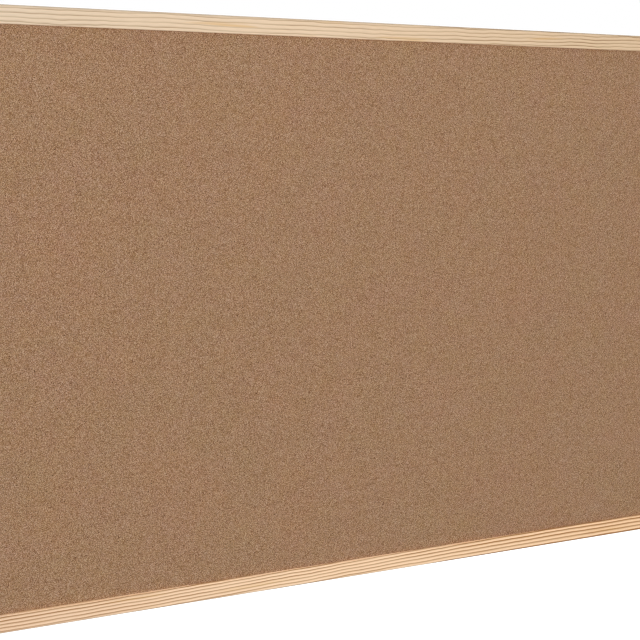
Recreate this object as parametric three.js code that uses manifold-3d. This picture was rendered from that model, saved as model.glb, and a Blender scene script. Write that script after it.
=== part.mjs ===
// Cork notice board: a cork-faced panel in a mitred pine frame, hung from two wire rings.
// Millimetres, +Z up. The cork faces -Y. The wall is the plane y = 0, and the origin is on it
// behind the middle of the board.
import * as THREE from "three";
import { mergeVertices } from "three/addons/utils/BufferGeometryUtils.js";
import Module from "manifold-3d";

const wasm = await Module();
wasm.setup();

// Whole board
const BOARD_WIDTH = 900;
const BOARD_HEIGHT = 600;

// Rail section: a stem behind, and a lip in front that covers the panel's edge
const RAIL_FACE = 17.4;
const LIP_REACH = 4.4;
const LIP_THICKNESS = 4.8;
const OUTER_ROUND = 1;
const INNER_ROUND = 0.4;
const BACK_ROUND = 0.8;
const BACK_RECESS = 2.1;
const MITRE_SEAM = 0.3;

// Panel layers, front to back
const CORK_THICKNESS = 2.5;
const CORK_PRESSED = 0.5;
const CORE_THICKNESS = 8;
const BACKING_THICKNESS = 2.5;
const GLUE_LINE = 0.2;
const PANEL_CLEARANCE = 0.5;
const FIT_GAP = 0.3;

// V-nails across the mitres, driven in from behind
const V_NAIL_HEIGHT = 7;
const V_NAIL_LEG = 4;
const V_NAIL_THICKNESS = 0.6;
const V_NAIL_INSET = 3;
const V_NAIL_PITCH = 4.5;

// Steel points that hold the panel in from behind
const POINT_WIDTH = 6;
const POINT_THICKNESS = 0.6;
const POINT_REACH = 7;
const POINT_BITE = 4.5;
const POINT_TIP = 2.5;
const LONG_RAIL_POINTS = 4;
const SHORT_RAIL_POINTS = 3;

// Ring hangers on the side rails
const HANGER_DROP = 110;
const STRAP_WIDTH = 7;
const STRAP_THICKNESS = 0.8;
const STRAP_LENGTH = 29;
const KNUCKLE_TURN = THREE.MathUtils.degToRad(280);
const WIRE_DIAMETER = 2;
const RING_BEND = 1.5;
const RING_LEG = 5;
const RING_BUTT_GAP = 0.4;
const RING_SIDE_PLAY = 0.4;

// Pan head screws through the straps
const SCREW_DIAMETER = 3;
const SCREW_LENGTH = 12;
const SCREW_TIP = 3;
const SCREW_HEAD_DIAMETER = 5.5;
const SCREW_HEAD_HEIGHT = 2;
const SCREW_HEAD_EDGE = 0.7;
const SCREW_FIRST = 15;
const SCREW_PITCH = 9;
const CROSS_LENGTH = 3.2;
const CROSS_WIDTH = 0.9;
const CROSS_DEPTH = 1.2;

// Rubber bumpers that keep the hangers off the wall
const BUMPER_DIAMETER = 10;
const BUMPER_HEIGHT = 5;
const BUMPER_ROUND = 1;
const BUMPER_INSET = 45;

// Fineness of curved faces
const ROUND_STEPS = 5;
const TURN_STEPS = 24;
const WIRE_STEPS = 44;
const WIRE_SIDES = 8;
const OVERCUT = 1;

// Levels along Y and widths that follow from the sizes above
const STEM = RAIL_FACE - LIP_REACH;
const RAIL_BACK = -BUMPER_HEIGHT - GLUE_LINE;
const BACKING_BACK = RAIL_BACK - BACK_RECESS;
const BACKING_FRONT = BACKING_BACK - BACKING_THICKNESS;
const CORE_BACK = BACKING_FRONT - GLUE_LINE;
const CORE_FRONT = CORE_BACK - CORE_THICKNESS;
const CORK_BACK = CORE_FRONT - GLUE_LINE;
const CORK_FRONT = CORK_BACK - CORK_THICKNESS;
const CORK_MARGIN = CORK_FRONT + CORK_PRESSED;
const LIP_BACK = CORK_MARGIN - GLUE_LINE;
const RAIL_FRONT = LIP_BACK - LIP_THICKNESS;
const PANEL_INSET = STEM + PANEL_CLEARANCE;
const POINT_BACK = BACKING_BACK + FIT_GAP + POINT_THICKNESS;
const WIRE_RADIUS = WIRE_DIAMETER / 2;
const KNUCKLE_INNER = WIRE_RADIUS + FIT_GAP;
const KNUCKLE_OUTER = KNUCKLE_INNER + STRAP_THICKNESS;
const STRAP_BACK = FIT_GAP + STRAP_THICKNESS;
const RING_AXIS = FIT_GAP + KNUCKLE_OUTER;

const X_AXIS = new THREE.Vector3(1, 0, 0);
const Y_AXIS = new THREE.Vector3(0, 1, 0);
const Z_AXIS = new THREE.Vector3(0, 0, 1);
const INWARD = Z_AXIS.clone().negate();

// The four sides, each seen from a frame whose +Z points out of the board across that side
const SIDES = [
  { name: "top", turn: 0, length: BOARD_WIDTH, reach: BOARD_HEIGHT / 2, points: LONG_RAIL_POINTS },
  { name: "right", turn: 1, length: BOARD_HEIGHT, reach: BOARD_WIDTH / 2, points: SHORT_RAIL_POINTS },
  { name: "bottom", turn: 2, length: BOARD_WIDTH, reach: BOARD_HEIGHT / 2, points: LONG_RAIL_POINTS },
  { name: "left", turn: 3, length: BOARD_HEIGHT, reach: BOARD_WIDTH / 2, points: SHORT_RAIL_POINTS },
];
const QUARTER_TURN = Math.PI / 2;

// The four corners, each seen from a frame with the board towards -X and -Z
const CORNERS = [
  { name: "top_right", turn: 0, across: 1, up: 1 },
  { name: "bottom_right", turn: 1, across: 1, up: -1 },
  { name: "bottom_left", turn: 2, across: -1, up: -1 },
  { name: "top_left", turn: 3, across: -1, up: 1 },
];
const V_NAIL_ROWS = [
  { name: "outer", inset: V_NAIL_INSET },
  { name: "inner", inset: V_NAIL_INSET + V_NAIL_PITCH },
];
const SCREW_ROWS = [
  { name: "upper", drop: SCREW_FIRST },
  { name: "lower", drop: SCREW_FIRST + SCREW_PITCH },
];

// Materials
const finish = (color, roughness, metalness) =>
  new THREE.MeshStandardMaterial({ color, roughness, metalness });
const pine = () => finish(0xe1c6a5, 0.6, 0);
const cork = () => finish(0x9d7b5e, 0.95, 0);
const softboard = () => finish(0xb49a78, 0.95, 0);
const hardboard = () => finish(0x7a5638, 0.8, 0);
const zincSteel = () => finish(0xb8bcc0, 0.35, 1);
const rubber = () => finish(0x2a2a2c, 0.85, 0);

// Solids for cutting and joining
function solidOf(geometry) {
  const bare = geometry.clone();
  bare.deleteAttribute("normal");
  bare.deleteAttribute("uv");
  const merged = mergeVertices(bare);
  return new wasm.Manifold(
    new wasm.Mesh({
      numProp: 3,
      vertProperties: merged.attributes.position.array,
      triVerts: new Uint32Array(merged.index.array),
    }),
  );
}

function geometryOf(solid) {
  const { vertProperties, triVerts } = solid.getMesh();
  const geometry = new THREE.BufferGeometry();
  geometry.setAttribute("position", new THREE.BufferAttribute(vertProperties, 3));
  geometry.setIndex(new THREE.BufferAttribute(triVerts, 1));
  geometry.computeVertexNormals();
  return geometry;
}

function cut(geometry, cutters) {
  const left = cutters.reduce((solid, cutter) => solid.subtract(solidOf(cutter)), solidOf(geometry));
  return geometryOf(left);
}

// An outline drawn along the first two axes and extruded along the third
function extrude(outline, depth, [right, up, out]) {
  const options = { depth, bevelEnabled: false, curveSegments: ROUND_STEPS };
  const geometry = new THREE.ExtrudeGeometry(outline, options);
  return geometry.applyMatrix4(new THREE.Matrix4().makeBasis(right, up, out));
}

function box(width, front, back, height) {
  const geometry = new THREE.BoxGeometry(width, back - front, height);
  return geometry.translate(0, (front + back) / 2, 0);
}

function polygon(points) {
  return new THREE.Shape(points.map(([x, y]) => new THREE.Vector2(x, y)));
}

function addMesh(group, name, geometry, material) {
  const mesh = new THREE.Mesh(geometry, material);
  mesh.name = name;
  group.add(mesh);
  return mesh;
}

function turnedGroup(parent, turn, x = 0, z = 0) {
  const group = new THREE.Group();
  group.position.set(x, 0, z);
  group.rotation.y = turn * QUARTER_TURN;
  parent.add(group);
  return group;
}

// Rail section: x is the distance in from the board's outer edge, y runs from front to back
function railOutline() {
  const shape = new THREE.Shape();
  shape.moveTo(0, RAIL_FRONT + OUTER_ROUND);
  shape.absarc(OUTER_ROUND, RAIL_FRONT + OUTER_ROUND, OUTER_ROUND, Math.PI, 1.5 * Math.PI, false);
  shape.absarc(RAIL_FACE - INNER_ROUND, RAIL_FRONT + INNER_ROUND, INNER_ROUND, 1.5 * Math.PI, 2 * Math.PI, false);
  shape.lineTo(RAIL_FACE, LIP_BACK);
  shape.lineTo(STEM, LIP_BACK);
  shape.lineTo(STEM, RAIL_BACK);
  shape.absarc(BACK_ROUND, RAIL_BACK - BACK_ROUND, BACK_ROUND, 0.5 * Math.PI, Math.PI, false);
  shape.closePath();
  return shape;
}

// Slides the end faces back by their distance from the outer edge, which cuts both ends at 45 degrees
function mitreEnds(geometry, reach) {
  const seam = (MITRE_SEAM / 2) * Math.SQRT2;
  const position = geometry.attributes.position;
  for (let i = 0; i < position.count; i += 1) {
    const x = position.getX(i);
    const shift = reach - position.getZ(i) + seam;
    position.setX(i, x - Math.sign(x) * shift);
  }
  return geometry;
}

function plainRail({ length, reach }) {
  const geometry = extrude(railOutline(), length, [INWARD, Y_AXIS, X_AXIS]);
  return mitreEnds(geometry.translate(-length / 2, 0, reach), reach);
}

// One V-nail in its corner's frame, with an allowance all round for its slot
function vNail(inset, allowance = 0) {
  const near = inset - allowance;
  const inner = inset + V_NAIL_THICKNESS + allowance;
  const far = inset + V_NAIL_LEG + allowance;
  const outline = polygon([
    [-near, near],
    [-near, far],
    [-inner, far],
    [-inner, inner],
    [-far, inner],
    [-far, near],
  ]);
  const open = allowance > 0 ? OVERCUT : 0;
  const geometry = extrude(outline, V_NAIL_HEIGHT + allowance + open, [X_AXIS, INWARD, Y_AXIS]);
  return geometry.translate(0, RAIL_BACK - V_NAIL_HEIGHT - allowance, 0);
}

function vNailSlots({ length, reach }) {
  return V_NAIL_ROWS.flatMap(({ inset }) => [
    vNail(inset, FIT_GAP).translate(length / 2, 0, reach),
    vNail(inset, FIT_GAP).rotateY(-QUARTER_TURN).translate(-length / 2, 0, reach),
  ]);
}

// Places of the steel points along one rail, evenly spread
function pointPlaces({ length, points }) {
  const pitch = length / points;
  return Array.from({ length: points }, (_, i) => (i + 0.5) * pitch - length / 2);
}

function retainingPoint() {
  const half = POINT_WIDTH / 2;
  const outline = polygon([
    [-half, POINT_REACH],
    [-half, POINT_TIP - POINT_BITE],
    [0, -POINT_BITE],
    [half, POINT_TIP - POINT_BITE],
    [half, POINT_REACH],
  ]);
  return extrude(outline, POINT_THICKNESS, [X_AXIS, INWARD, Y_AXIS]);
}

function pointSlots(side) {
  const depth = POINT_BITE + FIT_GAP + OVERCUT;
  const front = POINT_BACK - POINT_THICKNESS - FIT_GAP;
  const middle = side.reach - STEM - OVERCUT + depth / 2;
  return pointPlaces(side).map((place) =>
    box(POINT_WIDTH + 2 * FIT_GAP, front, POINT_BACK + FIT_GAP, depth).translate(place, 0, middle),
  );
}

// Round holes along Y, centred on the hanger's screws
function screwHole(length) {
  const radius = SCREW_DIAMETER / 2 + FIT_GAP;
  return new THREE.CylinderGeometry(radius, radius, length, TURN_STEPS);
}

function pilotHoles({ name, length, reach }) {
  const towardsTop = name === "right" ? -1 : 1;
  const depth = SCREW_LENGTH + FIT_GAP + OVERCUT;
  return SCREW_ROWS.map(({ drop }) => {
    const along = towardsTop * (length / 2 - HANGER_DROP - drop);
    return screwHole(depth).translate(along, RAIL_BACK + OVERCUT - depth / 2, reach - STEM / 2);
  });
}

function addFrame(board) {
  for (const side of SIDES) {
    const group = turnedGroup(board, side.turn);
    const holes = side.turn % 2 === 1 ? pilotHoles(side) : [];
    const rail = cut(plainRail(side), [...vNailSlots(side), ...pointSlots(side), ...holes]);
    addMesh(group, `${side.name}_rail`, rail, pine());
    pointPlaces(side).forEach((place, i) => {
      const point = addMesh(group, `${side.name}_point_${i + 1}`, retainingPoint(), zincSteel());
      point.position.set(place, POINT_BACK - POINT_THICKNESS, side.reach - STEM);
    });
  }
}

function addCornerNails(board) {
  for (const corner of CORNERS) {
    const x = (corner.across * BOARD_WIDTH) / 2;
    const z = (corner.up * BOARD_HEIGHT) / 2;
    const group = turnedGroup(board, corner.turn, x, z);
    for (const row of V_NAIL_ROWS) {
      addMesh(group, `${corner.name}_v_nail_${row.name}`, vNail(row.inset), zincSteel());
    }
  }
}

// The cork's margin is pressed thinner under the lips, so the field between them stands proud
function corkGeometry(width, height) {
  const inset = 2 * (RAIL_FACE + FIT_GAP);
  const sheet = solidOf(box(width, CORK_MARGIN, CORK_BACK, height));
  const middle = (CORK_MARGIN + CORK_BACK) / 2;
  const field = solidOf(box(BOARD_WIDTH - inset, CORK_FRONT, middle, BOARD_HEIGHT - inset));
  return geometryOf(sheet.add(field));
}

function addPanel(board) {
  const width = BOARD_WIDTH - 2 * PANEL_INSET;
  const height = BOARD_HEIGHT - 2 * PANEL_INSET;
  addMesh(board, "cork_sheet", corkGeometry(width, height), cork());
  addMesh(board, "softboard_core", box(width, CORE_FRONT, CORE_BACK, height), softboard());
  addMesh(board, "backing_board", box(width, BACKING_FRONT, BACKING_BACK, height), hardboard());
}

// Strap section: x runs away from the rail, y runs up, and the knuckle curls round the ring's bar
function strapOutline() {
  const shape = new THREE.Shape();
  const tip = Math.PI - KNUCKLE_TURN;
  shape.moveTo(FIT_GAP, -STRAP_LENGTH);
  shape.lineTo(FIT_GAP, 0);
  shape.absarc(RING_AXIS, 0, KNUCKLE_OUTER, Math.PI, tip, true);
  shape.absarc(RING_AXIS, 0, KNUCKLE_INNER, tip, Math.PI, false);
  shape.lineTo(STRAP_BACK, -STRAP_LENGTH);
  shape.closePath();
  return shape;
}

// Strap seen from behind, with a round lower end
function strapPlan() {
  const half = STRAP_WIDTH / 2;
  const shape = new THREE.Shape();
  shape.moveTo(-half, KNUCKLE_OUTER + OVERCUT);
  shape.lineTo(-half, half - STRAP_LENGTH);
  shape.absarc(0, half - STRAP_LENGTH, half, Math.PI, 2 * Math.PI, false);
  shape.lineTo(half, KNUCKLE_OUTER + OVERCUT);
  shape.closePath();
  return shape;
}

function strapGeometry() {
  const curled = extrude(strapOutline(), STRAP_WIDTH, [Y_AXIS, Z_AXIS, X_AXIS]);
  const depth = 2 * (RING_AXIS + KNUCKLE_OUTER);
  const plan = extrude(strapPlan(), depth, [X_AXIS, Z_AXIS, Y_AXIS.clone().negate()]);
  const strap = solidOf(curled.translate(-STRAP_WIDTH / 2, 0, 0));
  const trimmed = strap.intersect(solidOf(plan.translate(0, depth / 2 + RING_AXIS, 0)));
  const holes = SCREW_ROWS.map(({ drop }) => screwHole(depth).translate(0, 0, -drop));
  return cut(geometryOf(trimmed), holes);
}

// A flat path stood upright in the XZ plane
class UprightPath extends THREE.Curve {
  constructor(path) {
    super();
    this.path = path;
  }

  getPoint(t, target = new THREE.Vector3()) {
    const { x, y } = this.path.getPoint(t);
    return target.set(x, 0, y);
  }
}

// The ring's wire starts and ends at a butt joint hidden in the knuckle
function ringGeometry() {
  const bar = STRAP_WIDTH / 2 + RING_SIDE_PLAY;
  const leg = bar + RING_BEND;
  const path = new THREE.Path();
  path.moveTo(RING_BUTT_GAP / 2, 0);
  path.lineTo(bar, 0);
  path.absarc(bar, -RING_BEND, RING_BEND, 0.5 * Math.PI, 0, true);
  path.lineTo(leg, -RING_LEG);
  path.absarc(0, -RING_LEG, leg, 0, -Math.PI, true);
  path.lineTo(-leg, -RING_BEND);
  path.absarc(-bar, -RING_BEND, RING_BEND, Math.PI, 0.5 * Math.PI, true);
  path.lineTo(-RING_BUTT_GAP / 2, 0);
  const section = new THREE.Shape();
  section.absarc(0, 0, WIRE_RADIUS, 0, 2 * Math.PI, false);
  return new THREE.ExtrudeGeometry(section, {
    steps: WIRE_STEPS,
    curveSegments: WIRE_SIDES / 2,
    extrudePath: new UprightPath(path),
  });
}

// Screw along Y with its head's underside at y = 0 and its tip towards -Y
function screwGeometry() {
  const shank = SCREW_DIAMETER / 2;
  const head = SCREW_HEAD_DIAMETER / 2;
  const profile = [
    [0, -SCREW_LENGTH],
    [shank, SCREW_TIP - SCREW_LENGTH],
    [shank, 0],
    [head, 0],
    [head, SCREW_HEAD_HEIGHT - SCREW_HEAD_EDGE],
    [head - SCREW_HEAD_EDGE, SCREW_HEAD_HEIGHT],
    [0, SCREW_HEAD_HEIGHT],
  ].map(([x, y]) => new THREE.Vector2(x, y));
  const floor = SCREW_HEAD_HEIGHT - CROSS_DEPTH;
  const slot = box(CROSS_LENGTH, floor, SCREW_HEAD_HEIGHT + OVERCUT, CROSS_WIDTH);
  const crossSlot = box(CROSS_WIDTH, floor, SCREW_HEAD_HEIGHT + OVERCUT, CROSS_LENGTH);
  return cut(new THREE.LatheGeometry(profile, TURN_STEPS), [slot, crossSlot]);
}

function addHangers(board) {
  for (const [name, across] of [["left", -1], ["right", 1]]) {
    const hanger = new THREE.Group();
    hanger.position.set(across * (BOARD_WIDTH - STEM) / 2, RAIL_BACK, BOARD_HEIGHT / 2 - HANGER_DROP);
    board.add(hanger);
    addMesh(hanger, `${name}_hanger_strap`, strapGeometry(), zincSteel());
    const ring = addMesh(hanger, `${name}_hanger_ring`, ringGeometry(), zincSteel());
    ring.position.y = RING_AXIS;
    for (const { name: row, drop } of SCREW_ROWS) {
      const screw = addMesh(hanger, `${name}_hanger_screw_${row}`, screwGeometry(), zincSteel());
      screw.position.set(0, STRAP_BACK + FIT_GAP, -drop);
    }
  }
}

// Bumper along Y, with its flat face on the wall
function bumperGeometry() {
  const radius = BUMPER_DIAMETER / 2;
  const profile = new THREE.Path();
  profile.moveTo(0, -BUMPER_HEIGHT);
  profile.lineTo(radius, -BUMPER_HEIGHT);
  profile.lineTo(radius, -BUMPER_ROUND);
  profile.absarc(radius - BUMPER_ROUND, -BUMPER_ROUND, BUMPER_ROUND, 0, 0.5 * Math.PI, false);
  profile.lineTo(0, 0);
  return new THREE.LatheGeometry(profile.getPoints(ROUND_STEPS), TURN_STEPS);
}

function addBumpers(board) {
  for (const { name, across, up } of CORNERS) {
    const bumper = addMesh(board, `${name}_bumper`, bumperGeometry(), rubber());
    bumper.position.x = across * (BOARD_WIDTH / 2 - BUMPER_INSET);
    bumper.position.z = up * (BOARD_HEIGHT - STEM) / 2;
  }
}

const board = new THREE.Group();
board.name = "cork_notice_board";
addFrame(board);
addCornerNails(board);
addPanel(board);
addHangers(board);
addBumpers(board);

export default board;
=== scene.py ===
"""Looks of a cork notice board in a mitred pine frame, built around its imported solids.

Metres, in the frame's own axes: +X along the long rails, +Y into the wall, +Z up.
"""
import math
from collections import namedtuple

import bmesh
import bpy
import numpy as np
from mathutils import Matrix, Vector


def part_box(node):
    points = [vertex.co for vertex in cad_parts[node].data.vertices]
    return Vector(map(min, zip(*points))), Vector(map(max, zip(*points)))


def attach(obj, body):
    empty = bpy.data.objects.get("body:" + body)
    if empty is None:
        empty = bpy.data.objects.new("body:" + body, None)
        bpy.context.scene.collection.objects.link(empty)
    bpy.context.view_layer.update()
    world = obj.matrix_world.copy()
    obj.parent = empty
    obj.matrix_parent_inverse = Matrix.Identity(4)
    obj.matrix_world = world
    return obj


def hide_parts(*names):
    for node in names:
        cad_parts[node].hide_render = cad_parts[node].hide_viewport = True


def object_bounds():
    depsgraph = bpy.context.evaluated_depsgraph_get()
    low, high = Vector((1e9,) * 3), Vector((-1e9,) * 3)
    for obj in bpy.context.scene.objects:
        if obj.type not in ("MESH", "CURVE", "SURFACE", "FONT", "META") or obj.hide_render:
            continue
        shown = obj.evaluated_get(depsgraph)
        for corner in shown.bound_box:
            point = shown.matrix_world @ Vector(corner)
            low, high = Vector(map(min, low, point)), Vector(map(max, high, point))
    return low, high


MM = 0.001
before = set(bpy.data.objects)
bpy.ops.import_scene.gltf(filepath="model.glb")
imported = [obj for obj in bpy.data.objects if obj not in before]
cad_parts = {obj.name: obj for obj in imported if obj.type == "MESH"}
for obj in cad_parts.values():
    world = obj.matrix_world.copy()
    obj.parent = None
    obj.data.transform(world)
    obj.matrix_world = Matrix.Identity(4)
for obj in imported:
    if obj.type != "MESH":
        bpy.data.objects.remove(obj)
cad_low, cad_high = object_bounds()

# Sizes taken from the frame
HALF_WIDTH = cad_high.x
HALF_HEIGHT = cad_high.z
RAIL_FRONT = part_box("top_rail")[0].y
RAIL_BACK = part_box("top_rail")[1].y
RAIL_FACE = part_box("left_rail")[1].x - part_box("left_rail")[0].x
CORK_LOW, CORK_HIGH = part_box("cork_sheet")

# Rail section and joints
PANEL_CLEARANCE = 0.5 * MM
LIP_THICKNESS = 4.8 * MM
STEM = HALF_WIDTH - CORK_HIGH.x - PANEL_CLEARANCE
LIP_BACK = RAIL_FRONT + LIP_THICKNESS
OUTER_ROUND = 1 * MM
INNER_ROUND = 0.4 * MM
BACK_ROUND = 0.8 * MM
MITRE_SEAM = 0.08 * MM
MITRE_EASE = 0.15 * MM

# Cork sheet, with a relief of fine and coarse cells in its face
CORK_PRESSED = 0.5 * MM
CORK_FIELD_GAP = 0.15 * MM
CORK_CELL = 3 * MM
CORK_RELIEF = 0.05 * MM
FINE_SHARE = 0.6
COARSE_CELLS = 4
CORK_SEED = 5

# V-nails and points
V_NAIL_THICKNESS = 0.6 * MM
V_NAIL_PROUD = 0.08 * MM
POINT_TIP = 2.5 * MM
STEEL_EDGE = 0.12 * MM

# Hangers, with the knuckle's turn in degrees and half the width of the strap's lowest edge
FIT_GAP = 0.3 * MM
STRAP_THICKNESS = 0.8 * MM
STRAP_EDGE = 0.15 * MM
STRAP_END = 0.4 * MM
STRAP_END_STEPS = 11
KNUCKLE_TURN = 280
KNUCKLE_STEPS = 40
WIRE_SIDES = 18
RING_BEND = 1.5 * MM
RING_BOW_STEPS = 40
RING_BUTT_GAP = 0.4 * MM

# Screws: radii of hole, shank and point, and the cross recess's taper at its floor and above its mouth
SCREW_HOLE = 1.8 * MM
SCREW_SHANK = 1.5 * MM
SCREW_POINT = 0.1 * MM
SCREW_HEAD = 2 * MM
SCREW_TIP = 3 * MM
SCREW_EDGE = 0.7 * MM
CROSS_LENGTH = 3.2 * MM
CROSS_WIDTH = 0.9 * MM
CROSS_DEPTH = 1.2 * MM
CROSS_TAPERS = (0.7, 1.15)

# Bumpers: foot and waist as shares of the height, and the radii of the ring in the face from outside in
BUMPER_ROUND = 1 * MM
BUMPER_EDGE = 0.2 * MM
BUMPER_FOOT = 0.2
BUMPER_WAIST = (0.3, 0.55)
BUMPER_WAIST_DEPTH = 0.3 * MM
BUMPER_RING = (2.2 * MM, 2 * MM, 1.2 * MM, 1 * MM)
BUMPER_RING_DEPTH = 0.3 * MM

# Meshes: steps in rounds and turns, how far a cutter goes beyond what it cuts, and a square's corners
ROUND_STEPS = 10
TURN_STEPS = 48
SHARP_ANGLE = math.radians(35)
OVERCUT = 1 * MM
SQUARE = ((-1, -1), (1, -1), (1, 1), (-1, 1))

# Camera, as the photograph was taken
CAMERA_PLACE = Vector((-0.7567, RAIL_FRONT - 1.3033, 0.1647))
CAMERA_YAW = math.radians(28.141)
CAMERA_PITCH = math.radians(6.866)
FOCAL_PIXELS = 1400
IMAGE_PIXELS = 640
SENSOR_WIDTH = 36

# Softboxes by place, width in metres, power in watts and whether they cast shadows
SOFTBOXES = {
    "key": ((-0.6, -2.4, 1.6), 2.0, 11, True),
    "soft_key": ((-0.7, -2.8, 1.9), 2.0, 28.5, False),
    "upper_fill": ((-0.4, -2.3, 4.4), 2.0, 105, False),
    "lower_fill": ((-0.4, -2.0, -4.6), 2.0, 125, False),
    "left_fill": ((-3.0, 1.0, 0.7), 1.6, 48, True),
    "right_fill": ((3.0, 1.0, 0.7), 1.6, 48, True),
    "back_fill": ((0.5, 2.9, 1.4), 2.2, 40, True),
}

# Strength of the soft fill from straight above and straight below
FILL_ABOVE = 0.45
FILL_BELOW = 0.35

# Floor, this far below the board and this far out from its middle
FLOOR_DROP = 0.35
FLOOR_HALF = 8

# Width of the render's pixel filter
FILTER_PIXELS = 1.25


def srgb(red, green, blue):
    """A linear colour from 8-bit display values."""
    def linear(value):
        share = value / 255
        return share / 12.92 if share <= 0.04045 else ((share + 0.055) / 1.055) ** 2.4

    return (linear(red), linear(green), linear(blue), 1.0)


def grey(value):
    """A linear grey."""
    return (value, value, value, 1.0)


# Colour sockets of Blender's mix node
MIX_FIRST = 6
MIX_SECOND = 7
MIX_RESULT = 2


class Surface:
    """A procedural material, with short calls that add nodes and link them."""

    def __init__(self, name):
        self.material = bpy.data.materials.new(name)
        self.material.use_nodes = True
        self.tree = self.material.node_tree
        self.shader = self.tree.nodes["Principled BSDF"]

    def feed(self, socket, value):
        """Links a socket to another, or sets its value."""
        if isinstance(value, bpy.types.NodeSocket):
            self.tree.links.new(value, socket)
        else:
            socket.default_value = value

    def node(self, kind, inputs=None, **settings):
        made = self.tree.nodes.new(kind)
        for key, value in settings.items():
            setattr(made, key, value)
        for key, value in (inputs or {}).items():
            self.feed(made.inputs[key], value)
        return made

    def place(self):
        return self.node("ShaderNodeTexCoord").outputs["Object"]

    def mapped(self, vector, scale=(1, 1, 1), turn=(0, 0, 0), shift=(0, 0, 0)):
        inputs = {"Vector": vector, "Scale": scale, "Rotation": turn, "Location": shift}
        return self.node("ShaderNodeMapping", inputs).outputs["Vector"]

    def math(self, operation, first, second=0.0):
        return self.node("ShaderNodeMath", {0: first, 1: second}, operation=operation).outputs[0]

    def total(self, *values):
        result = values[0]
        for value in values[1:]:
            result = self.math("ADD", result, value)
        return result

    def noise(self, vector, scale=1.0, detail=2.0, roughness=0.5):
        inputs = {"Vector": vector, "Scale": scale, "Detail": detail, "Roughness": roughness}
        return self.node("ShaderNodeTexNoise", inputs).outputs["Fac"]

    def cells(self, vector, scale, feature="F1"):
        inputs = {"Vector": vector, "Scale": scale}
        return self.node("ShaderNodeTexVoronoi", inputs, feature=feature).outputs

    def chance(self, colour):
        """One random value out of a cell's random colour."""
        return self.node("ShaderNodeSeparateColor", {"Color": colour}).outputs["Red"]

    def stirred(self, vector, scale, reach):
        """Moves places about a little, so that cells lose their straight sides."""
        stir = self.node("ShaderNodeTexNoise", {"Vector": vector, "Scale": scale}).outputs["Color"]
        inputs = {0: stir, 1: (reach, reach, reach), 2: vector}
        return self.node("ShaderNodeVectorMath", inputs, operation="MULTIPLY_ADD").outputs[0]

    def spread(self, value, low, high):
        """Maps 0..1 to low..high."""
        return self.math("ADD", self.math("MULTIPLY", value, high - low), low)

    def eased(self, value, between, first, last):
        """Goes smoothly from first to last between two places."""
        inputs = {"Value": value, "From Min": between[0], "From Max": between[1]}
        inputs.update({"To Min": first, "To Max": last})
        return self.node("ShaderNodeMapRange", inputs, interpolation_type="SMOOTHSTEP").outputs["Result"]

    def ramp(self, factor, stops):
        """A colour from stops of (place, colour)."""
        made = self.node("ShaderNodeValToRGB", {"Fac": factor})
        elements = made.color_ramp.elements
        while len(elements) < len(stops):
            elements.new(1.0)
        for element, (position, colour) in zip(elements, stops):
            element.position = position
            element.color = colour
        return made.outputs["Color"]

    def mix(self, factor, first, second, blend="MIX"):
        made = self.node("ShaderNodeMix", data_type="RGBA", blend_type=blend)
        self.feed(made.inputs["Factor"], factor)
        self.feed(made.inputs[MIX_FIRST], first)
        self.feed(made.inputs[MIX_SECOND], second)
        return made.outputs[MIX_RESULT]

    def shaded(self, colour, shade, share=1.0):
        """A colour multiplied by a shade."""
        return self.mix(share, colour, shade, "MULTIPLY")

    def bump(self, height, distance, strength):
        inputs = {"Height": height, "Distance": distance, "Strength": strength}
        return self.node("ShaderNodeBump", inputs).outputs["Normal"]

    def finish(self, **sockets):
        """Feeds the shader's sockets, each named in small letters."""
        for key, value in sockets.items():
            name = key.replace("_", " ").title().replace("Ior", "IOR")
            self.feed(self.shader.inputs[name], value)
        return self.material


# Patterns in pine, in counts per metre along a rail, in from its front and in from its outer edge
SWAYS = (3.2, 4, 4)
WAVES = (21, 30, 30)
FADES = (11, 120, 120)
TONES = (9, 60, 60)
RESIN_STREAKS = (10, 170, 170)
FIBRES = (70, 1600, 1600)
# Patches in the painted shade along the outer front edge
EDGE_SHADE_PATCHES = (30, 80, 80)

# Streaks are resin where their noise is above the first value, and fully above the second
RESIN = srgb(212, 170, 108)
RESIN_STARTS = 0.6
RESIN_FULL = 0.72

# Tints of pine, as shares of the colour under them
WARMER = (0.98, 0.94, 0.88, 1)
FIBRE_SHADES = ((0.3, grey(0.9)), (0.55, grey(1.0)), (0.8, grey(1.05)))
FIBRE_SHARE = 0.8

# Painted shade along the outer front edge: full in the first share of its uneven reach
EDGE_SHADE_COLOUR = (0.64, 0.66, 0.68, 1)
EDGE_SHADE_FULL = 0.3
EDGE_SHADE_REACH = 1.8 * MM
EDGE_SHADE_SPREAD = 0.5 * MM

# Places along a rail that have a tint, partly painted light and shade, and what moves them into a ramp's
# range
TINT_PLACES = (-0.4, -0.1, 0.4)
TINT_SHIFT = 0.5

# Latewood ends just before its ring does, and is this strong in the weakest and the strongest ring
LATE_END = 0.97
LATE_STRENGTHS = (0.75, 1.0)

PINE_ROUGHNESS = (0.5, 0.66)
PINE_RELIEF = 0.04 * MM
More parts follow.
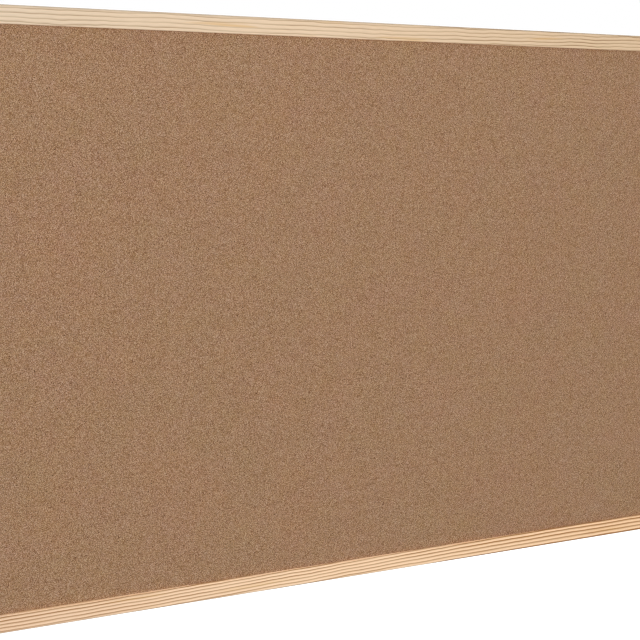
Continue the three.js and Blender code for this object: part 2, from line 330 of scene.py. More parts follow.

# Each rail is sawn from its own place in a tree. The pith lies outside the rail, this far beyond its
# outer edge and its front. The first ring lies this far in from the edge, and width is the dark share of
# each. The pitch and strength of the rings go from one value to the other between two places along the
# rail. Drift, between two more, moves them in from the edge, sway and wave bend them, and fade breaks
# them up. The tints colour the wood at three places along the rail, partly with its own colour and
# partly with painted light and shade along the rail.
PineLook = namedtuple(
    "PineLook",
    "early late tints resin pith first width pitch strength between drift drifts sway wave fade seed",
)
PINE_LOOKS = {
    "top": PineLook(
        early=srgb(227, 204, 177), late=srgb(150, 114, 72), resin=0.6,
        tints=((0.93, 0.94, 0.94, 1), (1.0, 0.98, 0.95, 1), (0.91, 0.85, 0.75, 1)),
        pith=(0.036, 0.012), first=3.25 * MM, width=0.2, pitch=(4.2 * MM, 3.6 * MM), strength=(0.6, 0.86),
        between=(-0.1, 0.4), drift=-7 * MM, drifts=(0.0, 0.6),
        sway=2.6 * MM, wave=2.4 * MM, fade=1.0, seed=2.3,
    ),
    "bottom": PineLook(
        early=srgb(242, 209, 176), late=srgb(150, 98, 36), resin=0.25,
        tints=((0.96, 0.94, 0.93, 1), (1.08, 1.1, 1.09, 1), (1.07, 1.01, 0.9, 1)),
        pith=(0.06, 0.03), first=2.6 * MM, width=0.36, pitch=(3.15 * MM, 4.0 * MM), strength=(0.84, 1.1),
        between=(-0.05, 0.3), drift=13 * MM, drifts=(-0.42, 0.36),
        sway=1.6 * MM, wave=1.3 * MM, fade=0.4, seed=7.1,
    ),
    "left": PineLook(
        early=srgb(238, 208, 176), late=srgb(152, 108, 56), resin=0.4,
        tints=((1.0, 1.0, 1.0, 1), (0.99, 0.98, 0.96, 1), (0.98, 0.95, 0.9, 1)),
        pith=(0.027, 0.008), first=0.44 * MM, width=0.28, pitch=(3.4 * MM, 4.1 * MM), strength=(0.8, 0.9),
        between=(-0.3, 0.3), drift=3 * MM, drifts=(-0.2, 0.3),
        sway=2.4 * MM, wave=1.4 * MM, fade=0.5, seed=5.7,
    ),
    "right": PineLook(
        early=srgb(237, 207, 174), late=srgb(152, 106, 54), resin=0.4,
        tints=((1.0, 1.0, 1.0, 1), (1.0, 0.98, 0.97, 1), (0.99, 0.97, 0.94, 1)),
        pith=(0.022, 0.006), first=0.0, width=0.3, pitch=(3.5 * MM, 2.8 * MM), strength=(0.85, 0.75),
        between=(-0.3, 0.3), drift=-4 * MM, drifts=(-0.3, 0.1),
        sway=2.0 * MM, wave=1.2 * MM, fade=0.5, seed=8.9,
    ),
}


def grain_place(surface, side):
    """Place in a rail as (along it, in from its front, in from its outer edge)."""
    quarter = math.pi / 2
    scale, turn, reach = {
        "top": ((1, 1, -1), 0, HALF_HEIGHT),
        "bottom": ((1, 1, 1), 0, HALF_HEIGHT),
        "left": ((-1, 1, 1), quarter, HALF_WIDTH),
        "right": ((1, 1, 1), quarter, HALF_WIDTH),
    }[side]
    return surface.mapped(surface.place(), scale, (0, turn, 0), (0, -RAIL_FRONT, reach))


def growth_rings(surface, axes, shifted, look):
    """The count of rings out from the pith, whole numbers at the end of each year's growth."""
    sway = surface.noise(surface.mapped(shifted, SWAYS), detail=1.0)
    wave = surface.noise(surface.mapped(shifted, WAVES), detail=2.0)
    bend = surface.total(
        surface.spread(sway, -look.sway, look.sway),
        surface.spread(wave, -look.wave, look.wave),
        surface.eased(axes["X"], look.drifts, 0.0, -look.drift),
    )
    across = surface.total(axes["Z"], bend, look.pith[0])
    depth = surface.total(axes["Y"], look.pith[1])
    square = surface.total(surface.math("POWER", across, 2.0), surface.math("POWER", depth, 2.0))
    out = surface.math("SUBTRACT", surface.math("SQRT", square), math.hypot(*look.pith) + look.first)
    return surface.math("DIVIDE", out, surface.eased(axes["X"], look.between, *look.pitch))


def latewood(surface, axes, shifted, look):
    """How dark the rings make the wood: latewood closes each one, and every ring has its own strength."""
    rings = growth_rings(surface, axes, shifted, look)
    dark = LATE_END - look.width

    # Places in a ring, and how dark it is there
    stops = (
        (0.0, 0.3),
        (0.06, 0.0),
        (dark - 0.25, 0.03),
        (dark, 0.5),
        (dark + 0.12, 1.0),
        (0.95, 1.0),
        (1.0, 0.3),
    )

    late = surface.ramp(surface.math("FRACT", rings), [(at, grey(value)) for at, value in stops])
    number = surface.math("FLOOR", rings)
    chance = surface.node("ShaderNodeTexWhiteNoise", {"W": number}, noise_dimensions="1D").outputs["Value"]
    fading = surface.noise(surface.mapped(shifted, FADES), detail=1.0)
    broken = surface.spread(fading, 1 - look.fade, 1 + look.fade)
    strength = surface.math("MULTIPLY", surface.spread(chance, *LATE_STRENGTHS), broken)
    bolder = surface.eased(axes["X"], look.between, *look.strength)
    return surface.math("MULTIPLY", late, surface.math("MULTIPLY", strength, bolder))


def painted_edge_shade(surface, axes, shifted):
    """Painted shade: a faint grey darkening along the outer front edge."""
    edge_patches = surface.noise(surface.mapped(shifted, EDGE_SHADE_PATCHES))
    patchy = surface.spread(edge_patches, -EDGE_SHADE_SPREAD, EDGE_SHADE_SPREAD)
    reach = surface.math("DIVIDE", surface.total(axes["Y"], axes["Z"], patchy), EDGE_SHADE_REACH)
    return surface.ramp(reach, [(EDGE_SHADE_FULL, EDGE_SHADE_COLOUR), (1.0, grey(1.0))])


def pine(side):
    """Planed pine: rings, fibres, streaks of resin, and warmer and paler stretches."""
    look = PINE_LOOKS[side]
    surface = Surface(f"pine_{side}")
    place = grain_place(surface, side)
    axes = surface.node("ShaderNodeSeparateXYZ", {"Vector": place}).outputs
    shifted = surface.mapped(place, shift=(look.seed, look.seed, 0))
    late = latewood(surface, axes, shifted, look)
    tone = surface.noise(surface.mapped(shifted, TONES))
    warm = tuple(value * share for value, share in zip(look.early, WARMER))
    wood = surface.mix(late, surface.mix(tone, look.early, warm), look.late)
    streak = surface.noise(surface.mapped(shifted, RESIN_STREAKS), detail=1.0)
    resin = surface.ramp(streak, [(RESIN_STARTS, grey(0.0)), (RESIN_FULL, grey(look.resin))])
    wood = surface.mix(resin, wood, RESIN)
    # Tints along the rail: partly the wood's own colour, partly painted light and shade
    tints = [(x + TINT_SHIFT, colour) for x, colour in zip(TINT_PLACES, look.tints)]
    wood = surface.shaded(wood, surface.ramp(surface.math("ADD", axes["X"], TINT_SHIFT), tints))
    fibre = surface.noise(surface.mapped(shifted, FIBRES), detail=3.0, roughness=0.6)
    wood = surface.shaded(wood, surface.ramp(fibre, FIBRE_SHADES), FIBRE_SHARE)
    relief = surface.total(surface.math("MULTIPLY", late, 0.5), surface.math("MULTIPLY", fibre, 0.5))
    # Painted shade darkens the outer front edge
    return surface.finish(
        base_color=surface.shaded(wood, painted_edge_shade(surface, axes, shifted)),
        roughness=surface.spread(fibre, *PINE_ROUGHNESS),
        normal=surface.bump(relief, PINE_RELIEF, strength=0.6),
    )


# Patterns in cork, in counts per metre, and how far they are stirred
GRANULES = 1800
CRUMBS = 3200
SPECKS = 330
CORK_CLOUDS = 8
CORK_PATCHES = 26
CORK_STIRS = 1500
CORK_STIR = 0.3 * MM

# Cork's colours: granules from dark to pale, painted shade in the gaps between them, and specks of bark
CORK_BROWNS = ((0.0, srgb(96, 55, 34)), (0.5, srgb(164, 124, 89)), (1.0, srgb(208, 177, 151)))
CORK_GAP_SHADE = ((0.0, grey(0.62)), (0.14, grey(1.0)))
BARK = srgb(78, 42, 12)

# Faint tints: clouds from greener to pinker, patches from yellower to greyer, and how strong their finer
# parts are
CORK_CLOUD_TINTS = ((0.2, (0.948, 1.019, 1.0, 1)), (0.8, (1.034, 0.969, 1.0, 1)))
CORK_PATCH_TINTS = ((0.2, (1.0, 1.0, 0.86, 1)), (0.8, (1.0, 1.0, 1.1, 1)))
CORK_FINENESS = 0.92

# How much of cork's tone granules and crumbs give
GRANULE_SHARE = 0.74
CRUMB_SHARE = 0.26

# How many of the specks' cells hold one, and how large and dark it is, in cells and as a share
SPECK_CHANCE = 0.4
SPECK_RADIUS = 0.15
SPECK_STRENGTH = 0.95

CORK_GLOSS = 0.15
CORK_BUMP = 0.3 * MM
CORK_BUMP_WIDTH = 0.2
DULL = 0.95


def cork():
    """Fine pressed cork: packed granules, each of its own brown, painted shade in gaps, specks of bark and
    tints.
    """
    surface = Surface("cork")
    place = surface.place()
    bent = surface.stirred(place, CORK_STIRS, CORK_STIR)
    granules = surface.cells(bent, GRANULES)
    blend = surface.total(
        surface.math("MULTIPLY", surface.chance(granules["Color"]), GRANULE_SHARE),
        surface.math("MULTIPLY", surface.noise(place, CRUMBS, detail=2.0), CRUMB_SHARE),
    )
    edge = surface.cells(bent, GRANULES, "DISTANCE_TO_EDGE")["Distance"]
    # Painted shade in the gaps between granules
    packed = surface.shaded(surface.ramp(blend, CORK_BROWNS), surface.ramp(edge, CORK_GAP_SHADE))

    specks = surface.cells(bent, SPECKS)
    rare = surface.math("LESS_THAN", surface.chance(specks["Color"]), SPECK_CHANCE)
    near = surface.math("LESS_THAN", specks["Distance"], SPECK_RADIUS)
    speck = surface.math("MULTIPLY", surface.math("MULTIPLY", rare, near), SPECK_STRENGTH)
    specked = surface.mix(speck, packed, BARK)

    clouds = surface.noise(place, CORK_CLOUDS, detail=5.0, roughness=CORK_FINENESS)
    patches = surface.noise(place, CORK_PATCHES, detail=4.0, roughness=CORK_FINENESS)
    tinted = surface.shaded(specked, surface.ramp(clouds, CORK_CLOUD_TINTS))
    return surface.finish(
        base_color=surface.shaded(tinted, surface.ramp(patches, CORK_PATCH_TINTS)),
        roughness=DULL,
        specular_ior_level=CORK_GLOSS,
        normal=surface.bump(surface.math("MINIMUM", edge, CORK_BUMP_WIDTH), CORK_BUMP, strength=0.4),
    )


# Softboard, with its fibres in counts per metre
SOFT_FIBRES = 900
SOFT_BROWNS = ((0.25, srgb(140, 116, 84)), (0.7, srgb(196, 172, 134)))
SOFT_RELIEF = 0.3 * MM


def softboard():
    """Loose, pale wood fibre."""
    surface = Surface("softboard")
    fibre = surface.noise(surface.place(), SOFT_FIBRES, detail=4.0, roughness=0.7)
    return surface.finish(
        base_color=surface.ramp(fibre, SOFT_BROWNS),
        roughness=DULL,
        normal=surface.bump(fibre, SOFT_RELIEF, strength=0.5),
    )


# Patterns in hardboard, in counts per metre, and how far they are stirred
UPRIGHT_FIBRES = (1300, 450, 450)
LEVEL_FIBRES = (450, 450, 1300)
HARD_CRUMBS = 1500
HARD_FLECKS = 500
HARD_CLOUDS = 35
HARD_STIRS = 260
HARD_STIR = 5 * MM

# Hardboard's colours, as shares where they tint what lies under them
HARD_BROWNS = ((0.36, srgb(100, 69, 45)), (0.5, srgb(122, 87, 58)), (0.64, srgb(146, 108, 74)))
HARD_FLECK_SHADES = ((0.64, grey(1.0)), (0.74, grey(0.76)))
HARD_CLOUD_SHADES = ((0.3, grey(0.86)), (0.7, grey(1.08)))

HARD_ROUGHNESS = (0.5, 0.75)
HARD_RELIEF = 0.08 * MM


def hardboard():
    """Pressed wood fibre: short brown fibres, fine crumb, dark flecks and cloudy stretches."""
    surface = Surface("hardboard")
    place = surface.place()
    bent = surface.stirred(place, HARD_STIRS, HARD_STIR)
    upright = surface.noise(surface.mapped(bent, UPRIGHT_FIBRES), detail=3.0, roughness=0.6)
    level = surface.noise(surface.mapped(bent, LEVEL_FIBRES), detail=3.0, roughness=0.6)
    crumb = surface.noise(place, HARD_CRUMBS, detail=4.0, roughness=0.7)
    fibre = surface.math("MULTIPLY", surface.total(upright, level, crumb), 1 / 3)
    flecks = surface.noise(bent, HARD_FLECKS, detail=2.0)
    clouds = surface.noise(place, HARD_CLOUDS, detail=4.0, roughness=0.6)
    brown = surface.shaded(surface.ramp(fibre, HARD_BROWNS), surface.ramp(flecks, HARD_FLECK_SHADES))
    return surface.finish(
        base_color=surface.shaded(brown, surface.ramp(clouds, HARD_CLOUD_SHADES)),
        roughness=surface.spread(fibre, *HARD_ROUGHNESS),
        normal=surface.bump(fibre, HARD_RELIEF, strength=0.5),
    )


# Zinc-plated steel, with its patterns in counts per metre
ZINC_GRAINS = 2600
ZINC_SPANGLES = 700
ZINC_GREYS = ((0.1, srgb(194, 197, 200)), (0.8, srgb(172, 175, 179)))
ZINC_ROUGHNESS = (0.24, 0.46)
ZINC_RELIEF = 0.02 * MM


def zinc_steel():
    """Zinc-plated steel: crystals of two greys under a fine grain."""
    surface = Surface("zinc_steel")
    place = surface.place()
    grain = surface.noise(place, ZINC_GRAINS, detail=3.0)
    spangle = surface.cells(place, ZINC_SPANGLES)["Distance"]
    return surface.finish(
        base_color=surface.ramp(spangle, ZINC_GREYS),
        metallic=1.0,
        roughness=surface.spread(grain, *ZINC_ROUGHNESS),
        normal=surface.bump(grain, ZINC_RELIEF, strength=0.4),
    )


# Rubber, with its grain in counts per metre
RUBBER_GRAINS = 3000
RUBBER_GREYS = ((0.3, srgb(30, 30, 31)), (0.7, srgb(52, 51, 50)))
RUBBER_ROUGHNESS = 0.78
RUBBER_RELIEF = 0.05 * MM


def rubber():
    """Black moulded rubber with a fine grain."""
    surface = Surface("rubber")
    grain = surface.noise(surface.place(), RUBBER_GRAINS, detail=3.0)
    return surface.finish(
        base_color=surface.ramp(grain, RUBBER_GREYS),
        roughness=RUBBER_ROUGHNESS,
        normal=surface.bump(grain, RUBBER_RELIEF, strength=0.5),
    )


# Floor, with its mottles in counts per metre
FLOOR_MOTTLES = 3
FLOOR_GREYS = ((0.0, grey(0.23)), (1.0, grey(0.27)))
FLOOR_ROUGHNESS = 0.9
FLOOR_GLOW = 0.84


def pale_floor():
    """A floor that glows a little, so that it runs on into the white behind it."""
    surface = Surface("floor")
    mottle = surface.noise(surface.place(), FLOOR_MOTTLES, detail=2.0)
    return surface.finish(
        base_color=surface.ramp(mottle, FLOOR_GREYS),
        roughness=FLOOR_ROUGHNESS,
        emission_color=grey(1.0),
        emission_strength=FLOOR_GLOW,
    )


def paint(obj, material):
    """Gives a piece one material."""
    obj.data.materials.clear()
    obj.data.materials.append(material)


def mesh_object(name, vertices, faces, material=None, bevel=0.0):
    """A closed mesh with smooth rounds and crisp corners, its edges eased by bevel."""
    shape = bmesh.new()
    points = [shape.verts.new(vertex) for vertex in vertices]
    for face in faces:
        shape.faces.new([points[i] for i in face])
    bmesh.ops.recalc_face_normals(shape, faces=shape.faces)
    if bevel:
        bmesh.ops.bevel(shape, geom=shape.edges[:], offset=bevel, segments=2, profile=0.5, affect="EDGES")
    mesh = bpy.data.meshes.new(name)
    shape.to_mesh(mesh)
    shape.free()
    mesh.shade_smooth()
    mesh.set_sharp_from_angle(angle=SHARP_ANGLE)
    obj = bpy.data.objects.new(name, mesh)
    bpy.context.scene.collection.objects.link(obj)
    if material:
        paint(obj, material)
    return obj


def dress(obj, body, slot, *nodes):
    """Rides a piece on its body and hides the solids of the nodes it stands in for; slot is not used."""
    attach(obj, body)
    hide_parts(*nodes)


def loft(loops):
    """Vertices and faces of a tube through equal loops of points, closed at both ends."""
    count = len(loops[0])
    vertices = [point for loop in loops for point in loop]
    last = (len(loops) - 1) * count
    faces = [tuple(range(count)), tuple(range(last, last + count))]
    for start in range(0, last, count):
        for i in range(count):
            j = (i + 1) % count
            faces.append((start + i, start + j, start + count + j, start + count + i))
    return vertices, faces


def prism(outline, back, front):
    """An outline of (x, z) points drawn out along Y."""
    return loft([[(x, y, z) for x, z in outline] for y in (back, front)])


def turned(profile, centre):
    """A turned shape along Y, from (radius, y) pairs."""
    loops = []
    for radius, y in profile:
        angles = [2 * math.pi * i / TURN_STEPS for i in range(TURN_STEPS)]
        loop = [(centre.x + radius * math.cos(a), y, centre.z + radius * math.sin(a)) for a in angles]
        loops.append(loop)
    return loft(loops)


def carve(obj, cutters):
    """Cuts the cutters out of a piece and removes them."""
    for cutter in cutters:
        cut = obj.modifiers.new("cut", "BOOLEAN")
        cut.operation = "DIFFERENCE"
        cut.solver = "EXACT"
        cut.object = cutter
    graph = bpy.context.evaluated_depsgraph_get()
    carved = bpy.data.meshes.new_from_object(obj.evaluated_get(graph))
    obj.modifiers.clear()
    obj.data = carved
    carved.set_sharp_from_angle(angle=SHARP_ANGLE)
    for cutter in cutters:
        bpy.data.objects.remove(cutter)


def arc(centre, radius, start, end, steps):
    """Points on a circle from one angle to another, in degrees."""
    angles = [math.radians(start + (end - start) * i / steps) for i in range(steps + 1)]
    return [(centre[0] + radius * math.cos(a), centre[1] + radius * math.sin(a)) for a in angles]


def rail_section(ease):
    """A rail's outline as (in from the outer edge, y), drawn in by ease on every side."""
    outer = arc((OUTER_ROUND, RAIL_FRONT + OUTER_ROUND), OUTER_ROUND - ease, 180, 270, ROUND_STEPS)
    inner_centre = (RAIL_FACE - INNER_ROUND, RAIL_FRONT + INNER_ROUND)
    inner = arc(inner_centre, INNER_ROUND - ease, 270, 360, ROUND_STEPS)
    rebate = [
        (RAIL_FACE - ease, LIP_BACK - ease),
        (STEM - ease, LIP_BACK - ease),
        (STEM - ease, RAIL_BACK - ease),
    ]
    back = arc((BACK_ROUND, RAIL_BACK - BACK_ROUND), BACK_ROUND - ease, 90, 180, ROUND_STEPS)
    return outer + inner + rebate + back


def rail_place(side, along, across, y):
    """A point of a rail in the frame's axes."""
    return {
        "top": (along, y, HALF_HEIGHT - across),
        "bottom": (-along, y, across - HALF_HEIGHT),
        "right": (HALF_WIDTH - across, y, -along),
        "left": (across - HALF_WIDTH, y, along),
    }[side]


def add_rail(side):
    """One rail, each mitred end eased by a last section that is drawn in."""
    half_length = HALF_WIDTH if side in ("top", "bottom") else HALF_HEIGHT
    stations = ((-1, MITRE_EASE, 0), (-1, 0, MITRE_EASE), (1, 0, MITRE_EASE), (1, MITRE_EASE, 0))
    loops = []
    for end, ease, back_off in stations:
        reach = half_length - MITRE_SEAM - back_off
        section = rail_section(ease)
        loops.append([rail_place(side, end * (reach - across), across, y) for across, y in section])
    rail = mesh_object(f"pine_rail_{side}", *loft(loops), pine(side))
    dress(rail, "board", "pine", f"{side}_rail")


def soft_noise(random, rows, columns, coarse):
    """Smooth noise between -1 and 1 on a grid, from random knots that lie coarse cells apart."""
    knots = random.uniform(-1, 1, (rows // coarse + 3, columns // coarse + 3))

    def shares(length):
        """The knot before each line of the grid, and the eased share of the knot after it."""
        place = np.arange(length) / coarse
        whole = place.astype(int)
        part = place - whole
        return whole, part * part * (3 - 2 * part)

    row, down = shares(rows)
    column, over = shares(columns)
    upper = knots[row][:, column] * (1 - over) + knots[row][:, column + 1] * over
    lower = knots[row + 1][:, column] * (1 - over) + knots[row + 1][:, column + 1] * over
    return upper * (1 - down[:, None]) + lower * down[:, None]


def cork_levels(rows, columns):
    """Where the cork's face lies on a grid, slightly uneven both finely and coarsely."""
    random = np.random.default_rng(CORK_SEED)
    fine = soft_noise(random, rows, columns, 1)
    coarse = soft_noise(random, rows, columns, COARSE_CELLS)
    relief = fine * FINE_SHARE + coarse * (1 - FINE_SHARE)
    return CORK_LOW.y + CORK_RELIEF * (1 + relief)


def grid_rim(rows, columns):
    """The outer vertices of a grid, in turn."""
    top = (rows - 1) * columns
    rim = list(range(columns - 1))
    rim += [row * columns + columns - 1 for row in range(rows - 1)]
    rim += [top + column for column in range(columns - 1, 0, -1)]
    rim += [row * columns for row in range(rows - 1, 0, -1)]
    return rim


def add_cork():
    """The cork sheet: a slightly uneven field between the lips and a pressed margin under them."""
    field_x = HALF_WIDTH - RAIL_FACE - CORK_FIELD_GAP
    field_z = HALF_HEIGHT - RAIL_FACE - CORK_FIELD_GAP
    columns = round(2 * field_x / CORK_CELL) + 1
    rows = round(2 * field_z / CORK_CELL) + 1
    levels = cork_levels(rows, columns)
    xs = np.linspace(-field_x, field_x, columns)
    zs = np.linspace(-field_z, field_z, rows)
    vertices = []
    for z, line in zip(zs, levels):
        vertices += [(x, y, z) for x, y in zip(xs, line)]
    faces = []
    for row in range(rows - 1):
        for column in range(columns - 1):
            first = row * columns + column
            faces.append((first, first + 1, first + columns + 1, first + columns))

    # Down the field's side, out across the margin, back along the sheet's edge, and the back
    rim = grid_rim(rows, columns)
    margin_y = CORK_LOW.y + CORK_PRESSED
    edge = (CORK_HIGH.x / field_x, CORK_HIGH.z / field_z)
    near = rim
    for (over, up), y in (((1, 1), margin_y), (edge, margin_y), (edge, CORK_HIGH.y)):
        far = list(range(len(vertices), len(vertices) + len(rim)))
        vertices += [(vertices[i][0] * over, y, vertices[i][2] * up) for i in rim]
        for i in range(len(rim)):
            j = (i + 1) % len(rim)
            faces.append((near[i], near[j], far[j], far[i]))
        near = far
    faces.append(tuple(near))
    sheet = mesh_object("cork_face", vertices, faces, cork())
    dress(sheet, "board", "cork", "cork_sheet")


def add_v_nail(node, steel):
    """An L of strip steel, just proud of the back where the solid is flush."""
    low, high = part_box(node)
    thickness = V_NAIL_THICKNESS
    outer_x = high.x if high.x > 0 else low.x
    outer_z = high.z if high.z > 0 else low.z
    inward_x = -math.copysign(1, outer_x)
    inward_z = -math.copysign(1, outer_z)
    leg = high.x - low.x
    steps = ((0, 0), (0, leg), (thickness, leg), (thickness, thickness), (leg, thickness), (leg, 0))
    outline = [(outer_x + inward_x * over, outer_z + inward_z * up) for over, up in steps]
    nail = mesh_object(f"steel_{node}", *prism(outline, low.y, high.y + V_NAIL_PROUD), steel, STEEL_EDGE)
    dress(nail, "board", "zinc_steel", node)


def add_point(node, steel):
    """A flat steel point: a blunt end over the backing board and a tip in the rail."""
    low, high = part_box(node)
    side = node.split("_")[0]
    middle = (low + high) / 2
    upright = side in ("top", "bottom")
    half_width = ((high.x - low.x) if upright else (high.z - low.z)) / 2
    half_length = ((high.z - low.z) if upright else (high.x - low.x)) / 2
    outward = 1 if side in ("top", "right") else -1
    shape = (
        (-half_width, -half_length),
        (half_width, -half_length),
        (half_width, half_length - POINT_TIP),
        (0, half_length),
        (-half_width, half_length - POINT_TIP),
    )
    if upright:
        outline = [(middle.x + over, middle.z + outward * along) for over, along in shape]
    else:
        outline = [(middle.x + outward * along, middle.z + over) for over, along in shape]
    point = mesh_object(f"steel_{node}", *prism(outline, low.y, high.y), steel, STEEL_EDGE)
    dress(point, "board", "zinc_steel", node)


def add_strap(name, steel):
    """Hanger strap: a strip with a round lower end, curled round the ring's bar at its top."""
    node = f"{name}_hanger_strap"
    low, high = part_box(node)
    ring_low, ring_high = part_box(f"{name}_hanger_ring")
    half_width = (high.x - low.x) / 2
    middle = (low.x + high.x) / 2
    wire = (ring_high.y - ring_low.y) / 2
    axis_y = (ring_low.y + ring_high.y) / 2
    axis_z = ring_high.z - wire
    inner = wire + FIT_GAP
    outer = inner + STRAP_THICKNESS

    # Points on the strip's two faces, up the plate and round the knuckle
    stations = []
    for turn in np.linspace(0, math.pi / 2, STRAP_END_STEPS + 1):
        rise = half_width * (1 - math.cos(turn))
        reach = half_width * math.sin(turn)
        stations.append((low.z + rise, max(reach, STRAP_END)))
    loops = []
    for z, reach in stations + [(axis_z, half_width)]:
        loops.append(strap_loop(middle, reach, (axis_y - outer, z), (axis_y - inner, z)))
    outside = arc((axis_y, axis_z), outer, 180, 180 - KNUCKLE_TURN, KNUCKLE_STEPS)
    inside = arc((axis_y, axis_z), inner, 180, 180 - KNUCKLE_TURN, KNUCKLE_STEPS)
    for far, near in list(zip(outside, inside))[1:]:
        loops.append(strap_loop(middle, half_width, far, near))
    strap = mesh_object(f"steel_{node}", *loft(loops), steel)
    holes = []
    for row in ("upper", "lower"):
        screw_low, screw_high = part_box(f"{name}_hanger_screw_{row}")
        centre = (screw_low + screw_high) / 2
        profile = [(SCREW_HOLE, low.y - OVERCUT), (SCREW_HOLE, high.y)]
        holes.append(mesh_object("hole", *turned(profile, centre)))
    carve(strap, holes)
    dress(strap, "board", "zinc_steel", node)


def strap_loop(middle, reach, far, near):
    """One section across the strip, its corners eased, between points (y, z) on its two faces."""
    far, near = Vector(far), Vector(near)
    ease = (near - far).normalized() * STRAP_EDGE
    corners = (
        (-reach + STRAP_EDGE, far),
        (reach - STRAP_EDGE, far),
        (reach, far + ease),
        (reach, near - ease),
        (reach - STRAP_EDGE, near),
        (-reach + STRAP_EDGE, near),
        (-reach, near - ease),
        (-reach, far + ease),
    )
    return [(middle + over, at.x, at.y) for over, at in corners]


def add_ring(name, steel):
    """Wire ring: a bar through the knuckle, two legs and a round bow, with a butt joint in the bar."""
    node = f"{name}_hanger_ring"
    low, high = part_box(node)
    wire = (high.y - low.y) / 2
    middle = (low.x + high.x) / 2
    y = (low.y + high.y) / 2
    leg = (high.x - low.x) / 2 - wire
    bar = leg - RING_BEND
    bar_z = high.z - wire
    bow_z = low.z + wire + leg
    path = [(RING_BUTT_GAP / 2, bar_z)]
    path += arc((bar, bar_z - RING_BEND), RING_BEND, 90, 0, ROUND_STEPS)
    path += arc((0, bow_z), leg, 0, -180, RING_BOW_STEPS)
    path += arc((-bar, bar_z - RING_BEND), RING_BEND, 180, 90, ROUND_STEPS)
    path.append((-RING_BUTT_GAP / 2, bar_z))
    loops = []
    for i, (x, z) in enumerate(path):
        before, after = path[max(i - 1, 0)], path[min(i + 1, len(path) - 1)]
        along = Vector((after[0] - before[0], after[1] - before[1])).normalized()
        loop = []
        for step in range(WIRE_SIDES):
            turn = 2 * math.pi * step / WIRE_SIDES
            out = wire * math.cos(turn)
            loop.append((middle + x - along.y * out, y + wire * math.sin(turn), z + along.x * out))
        loops.append(loop)
    ring = mesh_object(f"steel_{node}", *loft(loops), steel)
    dress(ring, f"{name}_ring", "zinc_steel", node)


def add_screw(node, steel):
    """Pan-head screw with a cross recess."""
    low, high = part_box(node)
    centre = (low + high) / 2
    head = (high.x - low.x) / 2
    under = high.y - SCREW_HEAD
    profile = [
        (SCREW_POINT, low.y),
        (SCREW_SHANK, low.y + SCREW_TIP),
        (SCREW_SHANK, under),
        (head, under),
    ]
    profile += arc((head - SCREW_EDGE, high.y - SCREW_EDGE), SCREW_EDGE, 0, 90, ROUND_STEPS)
    screw = mesh_object(f"steel_{node}", *turned(profile, centre), steel)
    cutters = []
    for half_x, half_z in ((CROSS_LENGTH / 2, CROSS_WIDTH / 2), (CROSS_WIDTH / 2, CROSS_LENGTH / 2)):
        loops = []
        for y, taper in zip((high.y - CROSS_DEPTH, high.y + OVERCUT), CROSS_TAPERS):
            reach = half_x * taper
            loops.append([(centre.x + over * reach, y, centre.z + up * half_z) for over, up in SQUARE])
        cutters.append(mesh_object("cross", *loft(loops)))
    carve(screw, cutters)
    dress(screw, "board", "zinc_steel", node)


def add_bumper(node, material):
    """Moulded rubber bumper: a foot, a waist and a rounded face with a shallow ring in it."""
    low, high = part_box(node)
    centre = (low + high) / 2
    radius = (high.x - low.x) / 2
    height = high.y - low.y
    profile = [
        (radius - BUMPER_EDGE, low.y),
        (radius, low.y + BUMPER_EDGE),
        (radius, low.y + BUMPER_FOOT * height),
    ]
    profile += [(radius - BUMPER_WAIST_DEPTH, low.y + share * height) for share in BUMPER_WAIST]
    profile += arc((radius - BUMPER_ROUND, high.y - BUMPER_ROUND), BUMPER_ROUND, 0, 90, ROUND_STEPS)
    ring_floor = high.y - BUMPER_RING_DEPTH
    profile += zip(BUMPER_RING, (high.y, ring_floor, ring_floor, high.y))
    bumper = mesh_object(f"moulded_{node}", *turned(profile, centre), material)
    dress(bumper, "board", "rubber", node)


def add_camera():
    """The camera where the photograph was taken from."""
    data = bpy.data.cameras.new("camera")
    data.sensor_width = SENSOR_WIDTH
    data.lens = SENSOR_WIDTH * FOCAL_PIXELS / IMAGE_PIXELS
    camera = bpy.data.objects.new("camera", data)
    camera.location = CAMERA_PLACE
    camera.rotation_euler = (math.pi / 2 - CAMERA_PITCH, 0, -CAMERA_YAW)
    bpy.context.scene.collection.objects.link(camera)
    bpy.context.scene.camera = camera


def add_softbox(name, place, width, power, shadows):
    """A square softbox that faces the board and stays out of the picture."""
    data = bpy.data.lights.new(name, "AREA")
    data.size = width
    data.energy = power
    data.use_shadow = shadows
    light = bpy.data.objects.new(name, data)
    light.location = place
    light.rotation_euler = (-Vector(place)).to_track_quat("-Z", "Y").to_euler()
    light.visible_camera = False
    bpy.context.scene.collection.objects.link(light)


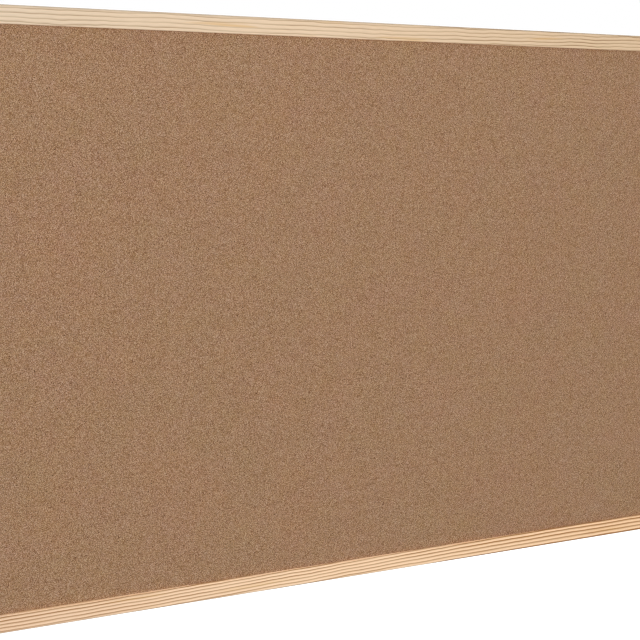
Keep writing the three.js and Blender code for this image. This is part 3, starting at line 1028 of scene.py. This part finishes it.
def add_world():
    """White to the eye, and a dimmer soft fill, stronger from above, for what it lights."""
    world = bpy.data.worlds.new("studio")
    world.use_nodes = True
    tree = world.node_tree
    background = tree.nodes["Background"]
    background.inputs["Color"].default_value = grey(1.0)
    path = tree.nodes.new("ShaderNodeLightPath")
    direction = tree.nodes.new("ShaderNodeTexCoord")
    axes = tree.nodes.new("ShaderNodeSeparateXYZ")
    fill = tree.nodes.new("ShaderNodeMapRange")
    fill.inputs["From Min"].default_value = -1.0
    fill.inputs["To Min"].default_value = FILL_BELOW
    fill.inputs["To Max"].default_value = FILL_ABOVE
    strength = tree.nodes.new("ShaderNodeMapRange")
    strength.inputs["To Max"].default_value = 1.0
    tree.links.new(direction.outputs["Generated"], axes.inputs["Vector"])
    tree.links.new(axes.outputs["Z"], fill.inputs["Value"])
    tree.links.new(fill.outputs["Result"], strength.inputs["To Min"])
    tree.links.new(path.outputs["Is Camera Ray"], strength.inputs["Value"])
    tree.links.new(strength.outputs["Result"], background.inputs["Strength"])
    bpy.context.scene.world = world


def add_floor():
    """The floor, well below the board, whose glow doesn't reach matt surfaces."""
    level = cad_low.z - FLOOR_DROP
    vertices = [(x * FLOOR_HALF, y * FLOOR_HALF, level) for x, y in SQUARE]
    floor = mesh_object("floor", vertices, [(0, 1, 2, 3)], pale_floor())
    floor.visible_diffuse = False


for side_name in PINE_LOOKS:
    add_rail(side_name)
add_cork()
paint(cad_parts["softboard_core"], softboard())
paint(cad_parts["backing_board"], hardboard())

zinc = zinc_steel()
black_rubber = rubber()
for node_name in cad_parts:
    if "v_nail" in node_name:
        add_v_nail(node_name, zinc)
    elif "_point_" in node_name:
        add_point(node_name, zinc)
    elif "screw" in node_name:
        add_screw(node_name, zinc)
    elif "bumper" in node_name:
        add_bumper(node_name, black_rubber)
for hanger in ("left", "right"):
    add_strap(hanger, zinc)
    add_ring(hanger, zinc)

add_camera()
add_world()
for light_name, softbox in SOFTBOXES.items():
    add_softbox(light_name, *softbox)
add_floor()
scene = bpy.context.scene
scene.view_settings.view_transform = "Standard"
scene.cycles.denoising_prefilter = "NONE"
scene.cycles.filter_width = FILTER_PIXELS
